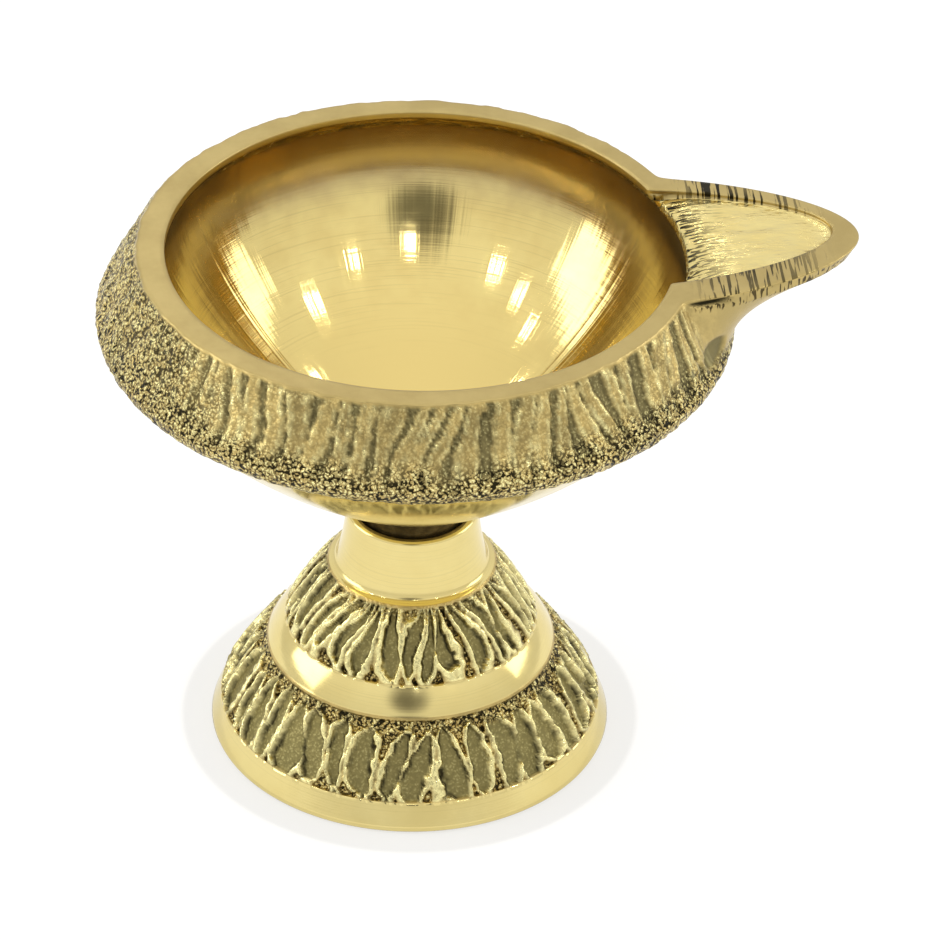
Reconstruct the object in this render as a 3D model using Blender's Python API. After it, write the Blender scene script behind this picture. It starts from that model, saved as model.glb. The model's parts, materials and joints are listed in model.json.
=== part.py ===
"""Brass diya oil lamp: a spouted bowl screwed to a hollow pedestal from below.

Metres, +Z up. The lamp stands on z = 0, its spout points along +X, and the origin is under the
middle of its outline, so the turning axis of the bowl and pedestal is at x = AXIS_X, y = 0.
"""

import math

import bmesh
import bpy
from mathutils import Matrix, Vector

# Pedestal, from the floor up: heights of its zones, then the radii between them
FOOT_RIM_HEIGHT = 0.0030
LOWER_BAND_HEIGHT = 0.0071
COLLAR_HEIGHT = 0.0026
UPPER_BAND_HEIGHT = 0.0068
NECK_HEIGHT = 0.0064
FOOT_RADIUS = 0.0203
FOOT_SHOULDER_RADIUS = 0.0193
COLLAR_LOWER_RADIUS = 0.0145
COLLAR_UPPER_RADIUS = 0.0127
NECK_ROOT_RADIUS = 0.0084
NECK_RADIUS = 0.0065
BAND_CROWN = 0.00025  # how far the petal bands bulge out of a straight cone
PEDESTAL_WALL = 0.0022
FOOT_RING_WIDTH = 0.0026
FOOT_EDGE_RADIUS = 0.0004
LIP_WIDTH = 0.0008  # from the neck's outside to the wall of its recess
LIP_CHAMFER = 0.0003
RECESS_DEPTH = 0.0025
WEB_THICKNESS = 0.0038

# Bowl, from its boss up, then the radii
BOSS_HEIGHT = 0.0036
UNDERSIDE_RISE = 0.0195
BELLY_ROUND = 0.0027  # height of the rounded lower edge of the petal band
BAND_RISE = 0.0073
BAND_FOOT_RADIUS = 0.0284
BELLY_RADIUS = 0.0314
RIM_RADIUS = 0.02735
MOUTH_RADIUS = 0.02495
MOUTH_OFFSET = 0.0004  # the turned inside lies this far towards the spout
LIP_HEIGHT = 0.0008
LIP_UNDERCUT = 0.0003
BELLY_WALL = 0.0049
FLOOR_THICKNESS = 0.0035

# Spout, measured from the turning axis
SPOUT_REACH = 0.0435
SPOUT_ROOT = 0.0250
SPOUT_HALF_WIDTH = 0.0111
SPOUT_EDGE = 0.0011  # height of the upright edge round the spout
SPOUT_FILLET = 0.0006
GROOVE_REACH = 0.0410
GROOVE_ROOT = 0.0240
GROOVE_HALF_WIDTH = 0.0084
GROOVE_SKEW = math.radians(1.4)
GROOVE_MOUTH_DEPTH = 0.0022
GROOVE_DEPTH = 0.00045
GROOVE_FALL = 0.0025  # length over which the groove's floor dips into the bowl

# Fastening
SCREW_RADIUS = 0.00194
SCREW_ENGAGEMENT = 0.0040
BORE_SPARE = 0.0005
HEAD_RADIUS = 0.0035
HEAD_HEIGHT = 0.0026
SLOT_WIDTH = 0.0012
SLOT_DEPTH = 0.0013
WASHER_RADIUS = 0.0045
WASHER_THICKNESS = 0.0008
SPRING_WASHER_RADIUS = 0.0038
SPRING_WASHER_THICKNESS = 0.0009
SPRING_GAP = 0.0007

# Clearances
SEAT_GAP = 0.0003  # between faces that rest on each other
THREAD_CLEARANCE = 0.00006  # between the screw and the bowl's bore, radially
WASHER_CLEARANCE = 0.00025
WEB_CLEARANCE = 0.0003
BOSS_CLEARANCE = 0.0003

# Facets
BOWL_STATIONS = 80
STATION_CROWDING = 0.72  # 0 spaces the stations evenly; near 1 crowds them at the spout
PEDESTAL_STEPS = 64
SMALL_STEPS = 32
SMOOTH_ANGLE = math.radians(35)

# Levels and places that follow
AXIS_X = (BELLY_RADIUS - SPOUT_REACH) / 2
LOWER_BAND_Z = FOOT_RIM_HEIGHT
COLLAR_Z = LOWER_BAND_Z + LOWER_BAND_HEIGHT
UPPER_BAND_Z = COLLAR_Z + COLLAR_HEIGHT
NECK_Z = UPPER_BAND_Z + UPPER_BAND_HEIGHT
MOUTH_Z = NECK_Z + NECK_HEIGHT
RECESS_Z = MOUTH_Z - RECESS_DEPTH
WEB_Z = RECESS_Z - WEB_THICKNESS
RECESS_RADIUS = NECK_RADIUS - LIP_WIDTH
BOSS_Z = RECESS_Z + SEAT_GAP
BOSS_RADIUS = RECESS_RADIUS - BOSS_CLEARANCE
UNDERSIDE_Z = BOSS_Z + BOSS_HEIGHT
BAND_Z = UNDERSIDE_Z + UNDERSIDE_RISE
BELLY_Z = BAND_Z + BELLY_ROUND
RIM_Z = BELLY_Z + BAND_RISE
BORE_RADIUS = SCREW_RADIUS + THREAD_CLEARANCE
BORE_Z = BOSS_Z + SCREW_ENGAGEMENT + BORE_SPARE
CAVITY_Z = UNDERSIDE_Z + FLOOR_THICKNESS
CAVITY_RADIUS = BELLY_RADIUS - BELLY_WALL
GROOVE_MOUTH_Z = RIM_Z - GROOVE_MOUTH_DEPTH
WASHER_Z = WEB_Z - SEAT_GAP - WASHER_THICKNESS
SPRING_WASHER_Z = WASHER_Z - SEAT_GAP - SPRING_WASHER_THICKNESS
HEAD_Z = SPRING_WASHER_Z - SEAT_GAP - HEAD_HEIGHT
SHANK_TOP_Z = BOSS_Z + SCREW_ENGAGEMENT


def clear_scene():
    for item in list(bpy.data.objects):
        bpy.data.objects.remove(item, do_unlink=True)


def make_material(name, colour, roughness):
    material = bpy.data.materials.new(name)
    material.use_nodes = True
    shader = material.node_tree.nodes["Principled BSDF"]
    shader.inputs["Base Color"].default_value = (*colour, 1.0)
    shader.inputs["Metallic"].default_value = 1.0
    shader.inputs["Roughness"].default_value = roughness
    return material


def add_object(name, mesh, material, parent=None):
    piece = bpy.data.objects.new(name, mesh)
    bpy.context.collection.objects.link(piece)
    mesh.materials.append(material)
    mesh.shade_smooth()
    mesh.set_sharp_from_angle(angle=SMOOTH_ANGLE)
    piece.parent = parent
    return piece


def add_axis(name):
    """An empty on the lamp's turning axis, which the pieces hang from."""
    axis = bpy.data.objects.new(name, None)
    axis.location = (AXIS_X, 0.0, 0.0)
    bpy.context.collection.objects.link(axis)
    return axis


def blend(a, b, share):
    return a + (b - a) * share


def curve_points(controls, count):
    """Points along the Bezier curve of 3 or 4 (radius, z) controls, without its first point."""
    points = []
    for step in range(1, count + 1):
        row = [Vector(point) for point in controls]
        while len(row) > 1:
            row = [p.lerp(q, step / count) for p, q in zip(row, row[1:])]
        points.append(tuple(row[0]))
    return points


def crowned(start, end, crown, count):
    """Points from start to end on a band that bulges by crown in its middle."""
    middle = ((start[0] + end[0]) / 2 + 2 * crown, (start[1] + end[1]) / 2)
    return curve_points((start, middle, end), count)


# ---------------------------------------------------------------- turned pieces


def lathe(name, profile, steps, material, parent):
    """Turn a closed (radius, z) outline about Z; it runs down its outer side."""
    mesh = bpy.data.meshes.new(name)
    points = [(radius, 0.0, z) for radius, z in profile]
    count = len(points)
    mesh.from_pydata(points, [(i, (i + 1) % count) for i in range(count)], [])
    piece = add_object(name, mesh, material, parent)
    add_screw(piece, steps)
    return piece


def add_screw(piece, steps):
    turn = piece.modifiers.new("turn", "SCREW")
    turn.axis = "Z"
    turn.angle = math.tau
    turn.steps = steps
    turn.render_steps = steps
    turn.use_merge_vertices = True
    turn.merge_threshold = 0.000001
    turn.use_smooth_shade = True


def add_cut(piece, cutter):
    cutter.hide_render = True
    cutter.display_type = "WIRE"
    cut = piece.modifiers.new("cut", "BOOLEAN")
    cut.operation = "DIFFERENCE"
    cut.solver = "EXACT"
    cut.object = cutter


def box_cutter(name, size, place, turn, parent):
    mesh = bpy.data.meshes.new(name)
    form = bmesh.new()
    bmesh.ops.create_cube(form, size=1.0)
    bmesh.ops.scale(form, vec=size, verts=form.verts)
    bmesh.ops.transform(form, matrix=turn, verts=form.verts)
    form.to_mesh(mesh)
    form.free()
    cutter = bpy.data.objects.new(name, mesh)
    bpy.context.collection.objects.link(cutter)
    cutter.location = place
    cutter.parent = parent
    return cutter


def hollow_radius(z):
    """Radius of the pedestal's inside wall at height z."""
    stations = (
        (FOOT_RADIUS - FOOT_RING_WIDTH, 0.0),
        (FOOT_SHOULDER_RADIUS - PEDESTAL_WALL, LOWER_BAND_Z),
        (COLLAR_LOWER_RADIUS - PEDESTAL_WALL, COLLAR_Z),
        (COLLAR_UPPER_RADIUS - PEDESTAL_WALL, UPPER_BAND_Z),
        (NECK_ROOT_RADIUS - PEDESTAL_WALL, NECK_Z),
    )
    for (low_radius, low_z), (high_radius, high_z) in zip(stations, stations[1:]):
        if z <= high_z:
            return blend(low_radius, high_radius, (z - low_z) / (high_z - low_z))
    return stations[-1][0]


def pedestal_profile():
    """Outside from the recess over the lip and down to the floor, then up the hollow."""
    foot_edge = (FOOT_RADIUS, FOOT_EDGE_RADIUS)
    shoulder = (FOOT_SHOULDER_RADIUS, LOWER_BAND_Z)
    collar_low = (COLLAR_LOWER_RADIUS, COLLAR_Z)
    collar_high = (COLLAR_UPPER_RADIUS, UPPER_BAND_Z)
    neck_root = (NECK_ROOT_RADIUS, NECK_Z)
    neck_top = (NECK_RADIUS, MOUTH_Z - LIP_CHAMFER)
    collar_waist = (
        (COLLAR_LOWER_RADIUS + COLLAR_UPPER_RADIUS) / 2 - BAND_CROWN / 3,
        (COLLAR_Z + UPPER_BAND_Z) / 2,
    )
    neck_waist = (blend(NECK_RADIUS, NECK_ROOT_RADIUS, 0.35), NECK_Z + NECK_HEIGHT / 3)
    points = [(RECESS_RADIUS, MOUTH_Z - LIP_CHAMFER)]
    points += [(RECESS_RADIUS + LIP_CHAMFER, MOUTH_Z)]
    points += [(NECK_RADIUS - LIP_CHAMFER, MOUTH_Z), neck_top]
    points += curve_points((neck_top, neck_waist, neck_root), 4)
    points += crowned(neck_root, collar_high, BAND_CROWN, 4)
    points += curve_points((collar_high, collar_waist, collar_low), 3)
    points += crowned(collar_low, shoulder, BAND_CROWN, 4)
    points += [foot_edge, (FOOT_RADIUS - FOOT_EDGE_RADIUS, 0.0)]
    points += [(hollow_radius(0.0), 0.0)]
    points += [(hollow_radius(z), z) for z in (LOWER_BAND_Z, COLLAR_Z, UPPER_BAND_Z) if z < WEB_Z]
    points += [(hollow_radius(WEB_Z), WEB_Z)]
    web_hole = SCREW_RADIUS + WEB_CLEARANCE
    points += [(web_hole, WEB_Z), (web_hole, RECESS_Z), (RECESS_RADIUS, RECESS_Z)]
    return points


def make_pedestal(parent, material):
    return lathe("pedestal", pedestal_profile(), PEDESTAL_STEPS, material, parent)


def make_screw(parent, material):
    """Cheese-headed screw, its head down, with a slot across the head."""
    edge = HEAD_HEIGHT / 8
    top = HEAD_Z + HEAD_HEIGHT
    mesh = bpy.data.meshes.new("clamp_screw")
    form = bmesh.new()
    outline = [(0.0, SHANK_TOP_Z), (SCREW_RADIUS - edge, SHANK_TOP_Z)]
    outline += [(SCREW_RADIUS, SHANK_TOP_Z - edge), (SCREW_RADIUS, top), (HEAD_RADIUS, top)]
    outline += [(HEAD_RADIUS, HEAD_Z + edge), (HEAD_RADIUS - edge, HEAD_Z), (0.0, HEAD_Z)]
    rings = [[(r, z) for _ in range(SMALL_STEPS)] for r, z in outline]
    angles = [math.tau * i / SMALL_STEPS for i in range(SMALL_STEPS)]
    skin_rings(form, rings[1:-1], angles, outline[0][1], outline[-1][1])
    form.to_mesh(mesh)
    form.free()
    screw = add_object("clamp_screw", mesh, material, parent)
    slot_size = (SLOT_WIDTH, 3 * HEAD_RADIUS, 2 * SLOT_DEPTH)
    slot = box_cutter("slot_cutter", slot_size, (0.0, 0.0, HEAD_Z), Matrix.Identity(4), parent)
    add_cut(screw, slot)
    return screw


def ring_profile(outer, thickness, z):
    inner = SCREW_RADIUS + WASHER_CLEARANCE
    edge = thickness / 6
    points = [(inner, z + thickness), (outer - edge, z + thickness)]
    points += [(outer, z + thickness - edge), (outer, z + edge), (outer - edge, z), (inner, z)]
    return points


def make_washer(parent, material):
    profile = ring_profile(WASHER_RADIUS, WASHER_THICKNESS, WASHER_Z)
    return lathe("flat_washer", profile, SMALL_STEPS, material, parent)


def make_spring_washer(parent, material):
    """Split ring, pressed flat, with a slanting gap between its ends."""
    z = SPRING_WASHER_Z
    profile = ring_profile(SPRING_WASHER_RADIUS, SPRING_WASHER_THICKNESS, z)
    ring = lathe("spring_washer", profile, SMALL_STEPS, material, parent)
    size = (2 * SPRING_WASHER_RADIUS, SPRING_GAP, 6 * SPRING_WASHER_THICKNESS)
    place = (-1.2 * SPRING_WASHER_RADIUS, 0.0, z + SPRING_WASHER_THICKNESS / 2)
    slant = Matrix.Rotation(math.radians(35), 4, "X")
    add_cut(ring, box_cutter("split_cutter", size, place, slant, parent))
    return ring


# ---------------------------------------------------------------- the bowl


def leaf_half_width(x, root, reach, half_width):
    """Half the width of a leaf-shaped outline at x: parallel up to its root, then round to its tip."""
    share = (x - root) / (reach - root)
    if share <= 0:
        return half_width
    if share >= 1:
        return 0.0
    return half_width * (1 - share**1.35) ** 0.52


def leaf_radius(angle, root, reach, half_width):
    """Distance from the axis to a leaf's outline along a ray, by halving."""
    side = abs(math.sin(angle))
    ahead = math.cos(angle)
    if ahead <= 0:
        return 0.0
    low = 0.0
    high = reach * 1.01
    for _ in range(40):
        middle = (low + high) / 2
        if middle * side < leaf_half_width(middle * ahead, root, reach, half_width):
            low = middle
        else:
            high = middle
    return low


def spout_overhang(angle):
    """How far the rim's outline stands out of its circle along a ray, with a hollow fillet."""
    leaf = leaf_radius(angle, SPOUT_ROOT, SPOUT_REACH, SPOUT_HALF_WIDTH) - RIM_RADIUS
    return SPOUT_FILLET * math.log1p(math.exp(leaf / SPOUT_FILLET))


def spout_share(z):
    """Share of the overhang that is left at height z under the rim."""
    below = RIM_Z - z
    if below <= SPOUT_EDGE:
        return 1 - 0.075 * below / SPOUT_EDGE
    depth = (below - SPOUT_EDGE) / (BAND_RISE - SPOUT_EDGE)
    return 0.925 * (1 - min(depth, 1.0)) ** 2


def turned_radius(radius, angle):
    """A circle of the turned inside, seen along a ray from the lamp's axis."""
    across = MOUTH_OFFSET * math.sin(angle)
    return MOUTH_OFFSET * math.cos(angle) + math.sqrt(radius * radius - across * across)


def groove_radius(angle):
    return leaf_radius(angle - GROOVE_SKEW, GROOVE_ROOT, GROOVE_REACH, GROOVE_HALF_WIDTH)


def cavity_curve():
    """Inside of the bowl from near its middle up to the level of the groove's mouth."""
    widest = (CAVITY_RADIUS, blend(BELLY_Z, RIM_Z, 0.27))
    steep = (CAVITY_RADIUS, BAND_Z - 0.1 * BELLY_ROUND)
    flat = (CAVITY_RADIUS * 0.53, CAVITY_Z)
    lower = curve_points(((0.0, CAVITY_Z), flat, steep, widest), 10)
    mouth = (blend(CAVITY_RADIUS, MOUTH_RADIUS + LIP_UNDERCUT, 0.35), GROOVE_MOUTH_Z)
    return lower + curve_points((widest, (CAVITY_RADIUS, blend(widest[1], mouth[1], 0.5)), mouth), 2)


def rim_section(angle, count):
    """Ledge under the lip, or the floor of the groove, ending at the foot of the top wall."""
    start = turned_radius(cavity_curve()[-1][0], angle)
    groove = groove_radius(angle)
    points = []
    if groove > start:
        for step in range(1, count + 1):
            radius = blend(start, groove, (step / count) ** 1.5)
            dip = (GROOVE_MOUTH_DEPTH - GROOVE_DEPTH) * math.exp((start - radius) / GROOVE_FALL)
            points.append((radius, RIM_Z - GROOVE_DEPTH - dip))
        return points
    ledge_z = RIM_Z - LIP_HEIGHT
    ledge = turned_radius(MOUTH_RADIUS + LIP_UNDERCUT, angle)
    for step in range(1, count):
        share = step / (count - 1)
        points.append((blend(start, ledge, share), blend(GROOVE_MOUTH_Z, ledge_z, share)))
    points.append((turned_radius(MOUTH_RADIUS, angle), ledge_z))
    return points


def outside_curve():
    """Outside of the bowl below the spout's upright edge, down to the boss."""
    rim = (RIM_RADIUS, RIM_Z)
    belly = (BELLY_RADIUS, BELLY_Z)
    band_foot = (BAND_FOOT_RADIUS, BAND_Z)
    boss_root = (BOSS_RADIUS, UNDERSIDE_Z)
    flank = []
    for step in range(7):
        z = blend(RIM_Z - SPOUT_EDGE, BELLY_Z, step / 6)
        flank.append((blend(rim[0], belly[0], (RIM_Z - z) / BAND_RISE), z))
    corner = (BELLY_RADIUS, blend(BAND_Z, BELLY_Z, 0.2))
    under = (blend(BOSS_RADIUS, BAND_FOOT_RADIUS, 0.73), blend(UNDERSIDE_Z, BAND_Z, 0.56))
    return (
        flank
        + curve_points((belly, corner, band_foot), 3)
        + curve_points((band_foot, under, boss_root), 6)
    )


def station_angles():
    """Angles of the bowl's stations, closest together at the spout."""
    angles = []
    for index in range(BOWL_STATIONS):
        share = 2 * index / BOWL_STATIONS - 1
        angles.append(math.pi * share - STATION_CROWDING * math.sin(math.pi * share))
    return angles


def bowl_section(angle):
    """One station of the bowl: its (radius, z) points from the cavity over the rim to the bore."""
    points = [(turned_radius(radius, angle), z) for radius, z in cavity_curve()]
    points += rim_section(angle, 5)
    points.append((points[-1][0], RIM_Z))
    overhang = spout_overhang(angle)
    points.append((RIM_RADIUS + overhang, RIM_Z))
    points += [(radius + overhang * spout_share(z), z) for radius, z in outside_curve()]
    points += [(BOSS_RADIUS, BOSS_Z), (BORE_RADIUS, BOSS_Z), (BORE_RADIUS, BORE_Z)]
    return points


def skin_rings(form, rings, angles, first_z, last_z):
    """Close rings of (radius, z), listed from the first pole to the last, into one skin."""
    loops = []
    for ring in rings:
        loop = []
        for (radius, z), angle in zip(ring, angles):
            loop.append(form.verts.new((radius * math.cos(angle), radius * math.sin(angle), z)))
        loops.append(loop)
    count = len(angles)
    for above, below in zip(loops, loops[1:]):
        for i in range(count):
            j = (i + 1) % count
            form.faces.new((above[i], below[i], below[j], above[j]))
    for loop, z, flip in ((loops[0], first_z, False), (loops[-1], last_z, True)):
        pole = form.verts.new((0.0, 0.0, z))
        for i in range(count):
            j = (i + 1) % count
            form.faces.new((pole, loop[j], loop[i]) if flip else (pole, loop[i], loop[j]))


def make_bowl(parent, material):
    angles = station_angles()
    sections = [bowl_section(angle) for angle in angles]
    rings = list(zip(*sections))
    mesh = bpy.data.meshes.new("bowl")
    form = bmesh.new()
    skin_rings(form, rings, angles, CAVITY_Z, BORE_Z)
    form.to_mesh(mesh)
    form.free()
    return add_object("bowl", mesh, material, parent)


def build_lamp():
    clear_scene()
    axis = add_axis("lamp_axis")
    polished_brass = make_material("polished_brass", (0.80, 0.64, 0.33), 0.22)
    cast_brass = make_material("cast_brass", (0.74, 0.60, 0.33), 0.38)
    zinc_steel = make_material("zinc_steel", (0.62, 0.62, 0.60), 0.35)
    spring_steel = make_material("spring_steel", (0.32, 0.32, 0.33), 0.45)
    make_pedestal(axis, cast_brass)
    make_bowl(axis, polished_brass)
    make_screw(axis, zinc_steel)
    make_washer(axis, zinc_steel)
    make_spring_washer(axis, spring_steel)


build_lamp()
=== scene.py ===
"""Looks of the brass diya lamp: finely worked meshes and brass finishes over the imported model."""

import itertools
import json
import math
from typing import NamedTuple

import bpy
import numpy as np
from mathutils import Matrix, Vector


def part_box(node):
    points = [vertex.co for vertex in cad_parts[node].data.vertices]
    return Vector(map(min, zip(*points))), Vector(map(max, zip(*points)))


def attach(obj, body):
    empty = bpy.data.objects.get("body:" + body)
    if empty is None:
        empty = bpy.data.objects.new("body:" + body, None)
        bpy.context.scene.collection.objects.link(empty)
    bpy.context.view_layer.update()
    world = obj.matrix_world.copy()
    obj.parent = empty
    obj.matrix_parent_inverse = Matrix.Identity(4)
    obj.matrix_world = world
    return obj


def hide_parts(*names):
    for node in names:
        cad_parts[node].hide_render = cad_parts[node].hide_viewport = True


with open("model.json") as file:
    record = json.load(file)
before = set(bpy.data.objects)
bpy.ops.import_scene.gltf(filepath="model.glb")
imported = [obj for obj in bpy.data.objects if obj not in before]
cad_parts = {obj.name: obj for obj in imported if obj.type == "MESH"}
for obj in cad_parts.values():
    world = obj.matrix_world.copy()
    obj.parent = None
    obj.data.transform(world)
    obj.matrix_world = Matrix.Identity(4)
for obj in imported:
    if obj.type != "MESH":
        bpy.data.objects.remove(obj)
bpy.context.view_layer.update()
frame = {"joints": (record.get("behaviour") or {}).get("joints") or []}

# ---- sizes, in metres

AXIS_X = {joint["name"]: joint for joint in frame["joints"]}["bowl_turn"]["pos_m"][0]

BOWL_LOW, BOWL_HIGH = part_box("bowl")
PEDESTAL_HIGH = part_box("pedestal")[1]

# The bowl: heights from the floor, radii from the turning axis
RIM_Z = BOWL_HIGH.z
BOSS_Z = BOWL_LOW.z
BELLY_RADIUS = BOWL_HIGH.y
SPOUT_REACH = BOWL_HIGH.x - AXIS_X
BAND_RISE = 0.0073
BELLY_Z = RIM_Z - BAND_RISE
BELLY_ROUND = 0.0027
BAND_Z = BELLY_Z - BELLY_ROUND
BAND_FOOT_RADIUS = 0.0284
BOSS_HEIGHT = 0.0036
UNDERSIDE_Z = BOSS_Z + BOSS_HEIGHT
RIM_RADIUS = 0.02735
MOUTH_RADIUS = 0.02495
MOUTH_OFFSET = 0.0004
LIP_HEIGHT = 0.0008
LIP_UNDERCUT = 0.0003
BELLY_WALL = 0.0049
CAVITY_RADIUS = BELLY_RADIUS - BELLY_WALL
FLOOR_THICKNESS = 0.0035
CAVITY_Z = UNDERSIDE_Z + FLOOR_THICKNESS
BOSS_RADIUS = 0.0054
BORE_RADIUS = 0.0020
BORE_DEPTH = 0.0045
BORE_Z = BOSS_Z + BORE_DEPTH

# The spout and its groove
SPOUT_ROOT = 0.0250
SPOUT_HALF_WIDTH = 0.0111
SPOUT_EDGE = 0.0011
SPOUT_FILLET = 0.0006
GROOVE_REACH = 0.0410
GROOVE_ROOT = 0.0240
GROOVE_HALF_WIDTH = 0.0084
GROOVE_SKEW = math.radians(1.4)
GROOVE_MOUTH_DEPTH = 0.0022
GROOVE_MOUTH_Z = RIM_Z - GROOVE_MOUTH_DEPTH
GROOVE_DEPTH = 0.00045
GROOVE_FALL = 0.0025
GROOVE_FILLET = 0.00025

# Casting marks on the front of the spout's root: a shallow oval and a small pit
OVAL_ANGLE = math.radians(-23.0)
OVAL_Z = RIM_Z - 0.0055
OVAL_HALF_LENGTH = 0.0026
OVAL_HALF_HEIGHT = 0.0011
OVAL_SLOPE = 0.08
OVAL_DEPTH = 0.00035
PIT_ANGLE = math.radians(-21.5)
PIT_Z = RIM_Z - 0.0004
PIT_HALF_LENGTH = 0.0012
PIT_HALF_HEIGHT = 0.00034
PIT_DEPTH = 0.00030

# The pedestal
FOOT_RADIUS = PEDESTAL_HIGH.y
MOUTH_Z = PEDESTAL_HIGH.z
FOOT_SHOULDER = (0.0193, 0.0030)
COLLAR_LOW = (0.0145, 0.0101)
COLLAR_HIGH = (0.0127, 0.0127)
NECK_ROOT = (0.0084, 0.0195)
NECK_RADIUS = 0.0067
NECK_STEP = 0.0008  # a narrow ring at the neck's foot, above the upper band
NECK_STEP_RISE = 0.0006
NECK_CHAMFER = 0.0003
RECESS_RADIUS = 0.0057
RECESS_DEPTH = 0.0025
RECESS_Z = MOUTH_Z - RECESS_DEPTH
WEB_THICKNESS = 0.0038
WEB_Z = RECESS_Z - WEB_THICKNESS
WEB_HOLE = 0.00224
WALL = 0.0022
FOOT_RING = 0.0026
FOOT_ROUND = 0.0004
BAND_CROWN = 0.00025

# The screw and its washers
SCREW_RADIUS = 0.00194
THREAD_PITCH = 0.0007
THREAD_DEPTH = 0.00030
RINGS_A_TURN = 12
HEAD_HEIGHT = 0.0026
SLOT_WIDTH = 0.0012
SLOT_DEPTH = 0.0013
HEAD_ROUND = 0.0003
WASHER_CLEARANCE = 0.00025
WASHER_INNER = SCREW_RADIUS + WASHER_CLEARANCE
WASHER_ROUND = 0.00012
SPRING_ROUND = 0.00010
SPRING_GAP = 0.0007
SPRING_SLOPE = 0.9  # how far the spring washer's gap leans round for each step up

# Petals and casting grain: heights of what stands proud or is sunk, and the sizes of its lumps
BOWL_PETALS = 84
BOWL_PETAL_REACH = (-0.3, 0.70)
BOWL_PETAL_RISE = 0.00008
BOWL_GAP_DEPTH = 0.00024
BOWL_GRAIN_DEPTH = 0.00017
BOWL_GRAIN_SIZE = 0.0007
OUTLINE_RISE = 0.00018
PETAL_DEPTH = 0.00048
BETWEEN_DEPTH = 0.00030
PEDESTAL_GRAIN_DEPTH = 0.00012
PEDESTAL_GRAIN_SIZE = 0.0006
RIM_UNEVENNESS = 0.00012
SPOUT_EDGE_LUMPS = 0.00006
GROOVE_WAVES = 0.00007

# Fineness of the worked surfaces
BOWL_STATIONS = 720
STATION_CROWDING = 0.35  # 0 spaces the stations evenly; more crowds them at the spout
PEDESTAL_STATIONS = 620
SCREW_STATIONS = 96
HEAD_STATIONS = 28
WASHER_STATIONS = 120
EDGE = 0.00013  # how far a worked edge is rounded


# ---- numbers


def blend(a, b, share):
    return a + (b - a) * share


def smooth(low, high, value):
    share = np.clip((value - low) / (high - low), 0.0, 1.0)
    return share * share * (3 - 2 * share)


def lattice(x, y, z, seed):
    """A number from 0 to 1 for each whole-numbered corner of a cubic lattice."""
    mixed = (x * 374761393 + y * 668265263 + z * 1103515245 + seed * 1274126177) & 0xFFFFFFFF
    mixed = ((mixed ^ (mixed >> 13)) * 1274126177) & 0xFFFFFFFF
    return (mixed ^ (mixed >> 16)) / 0xFFFFFFFF


def noise(points, size, seed):
    """Smooth random numbers from -1 to 1 at points (..., 3), with lumps about size across."""
    cell = np.floor(points / size).astype(np.int64)
    share = points / size - cell
    share = share * share * (3 - 2 * share)
    total = np.zeros(points.shape[:-1])
    for corner in itertools.product((0, 1), repeat=3):
        weight = np.prod(np.where(corner, share, 1 - share), axis=-1)
        near = cell + np.array(corner)
        total += weight * lattice(near[..., 0], near[..., 1], near[..., 2], seed)
    return 2 * total - 1


def rough_noise(points, size, seed):
    return 0.6 * noise(points, size, seed) + 0.4 * noise(points, size / 2, seed + 7)


def pick(index, seed):
    """A number from 0 to 1 for each whole number of an array."""
    index = np.asarray(index).astype(np.int64)
    return lattice(index, index * 0 + 3, index * 0 + 11, seed)


# ---- outlines


def curve_points(controls, count):
    """Points along the Bezier curve of 3 or 4 (radius, z) controls, without its first point."""
    points = []
    for step in range(1, count + 1):
        row = [Vector(point) for point in controls]
        while len(row) > 1:
            row = [p.lerp(q, step / count) for p, q in zip(row, row[1:])]
        points.append(tuple(row[0]))
    return points


def line_points(start, end, count):
    """Points from start to end, without the first."""
    return [
        (blend(start[0], end[0], step / count), blend(start[1], end[1], step / count))
        for step in range(1, count + 1)
    ]


def leaf_half_width(x, root, reach, half_width):
    share = np.clip((x - root) / (reach - root), 0.0, 1.0)
    return half_width * (1 - share**1.35) ** 0.52


def leaf_radius(angles, root, reach, half_width):
    """Distance from the axis to a leaf's outline along each ray, by halving."""
    side = np.abs(np.sin(angles))
    ahead = np.cos(angles)
    low = np.zeros_like(angles)
    high = np.full_like(angles, reach * 1.01)
    for _ in range(40):
        middle = (low + high) / 2
        inside = middle * side < leaf_half_width(middle * ahead, root, reach, half_width)
        inside &= middle * ahead < reach
        low = np.where(inside, middle, low)
        high = np.where(inside, high, middle)
    return np.where(ahead > 0, low, 0.0)


def turned_radius(radius, angles):
    """A circle of the turned inside, seen along rays from the lamp's axis."""
    across = MOUTH_OFFSET * np.sin(angles)
    return MOUTH_OFFSET * np.cos(angles) + np.sqrt(radius * radius - across * across)


def soft_over(value, base, fillet):
    """The larger of value and base, with a hollow fillet where they meet."""
    return base + fillet * np.logaddexp(0.0, (value - base) / fillet)


def slant(radius, angles):
    """How much longer a step across an outline is along the ray than square to the outline."""
    slope = np.gradient(radius, angles)
    return np.sqrt(1 + (slope / radius) ** 2)


def spout_share(z):
    """Share of the spout's overhang that is left at height z under the rim."""
    below = RIM_Z - z
    if below <= SPOUT_EDGE:
        return 1 - 0.075 * below / SPOUT_EDGE
    depth = (below - SPOUT_EDGE) / (BAND_RISE - SPOUT_EDGE)
    return 0.925 * (1 - min(depth, 1.0)) ** 1.45


# ---- skins


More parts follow.
